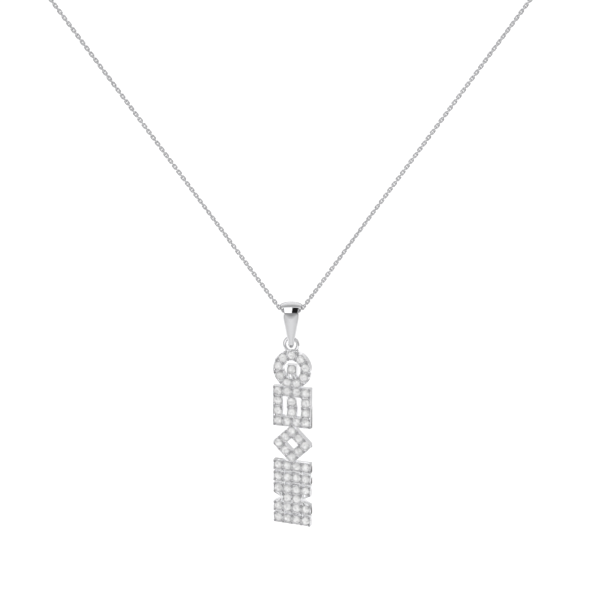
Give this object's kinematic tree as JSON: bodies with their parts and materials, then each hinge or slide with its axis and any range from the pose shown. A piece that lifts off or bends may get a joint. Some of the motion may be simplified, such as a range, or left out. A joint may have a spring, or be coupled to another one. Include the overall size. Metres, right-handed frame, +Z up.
{
  "type": "pendant necklace with a pierced upright plate",
  "caption": "Fine cable chain necklace with a tapered bail and an upright pierced plate set with small round stones.",
  "frame": {"origin": "the nape: the middle of the clasp at the back of the loop, where the necklace rests on the neck", "axes": "+Z up, -Y out of the front, +X to the right seen from the front"},
  "size_m": [0.1174, 0.1112, 0.1289],
  "materials": {
    "chain_metal": "polished rhodium-plated white gold wire",
    "polished_metal": "mirror-polished rhodium-plated white gold",
    "plate_metal": "bright-cut rhodium-plated white gold",
    "stone": "clear round-cut stones"
  },
  "bodies": {
    "root": {"chain": "chain_metal", "clasp": "polished_metal"},
    "bail": {"bail": "polished_metal"},
    "nameplate": {"nameplate": "plate_metal", "stones": "stone"}
  },
  "joints": [
    {"name": "bail_swing", "type": "hinge", "parent": "root", "child": "bail", "pos_m": [0, -0.109, -0.092], "axis": [1, 0, 0], "range_deg": [-70, 70]},
    {"name": "plate_swing", "type": "hinge", "parent": "bail", "child": "nameplate", "pos_m": [0, -0.109, -0.09601], "axis": [1, 0, 0], "range_deg": [-60, 60]}
  ]
}
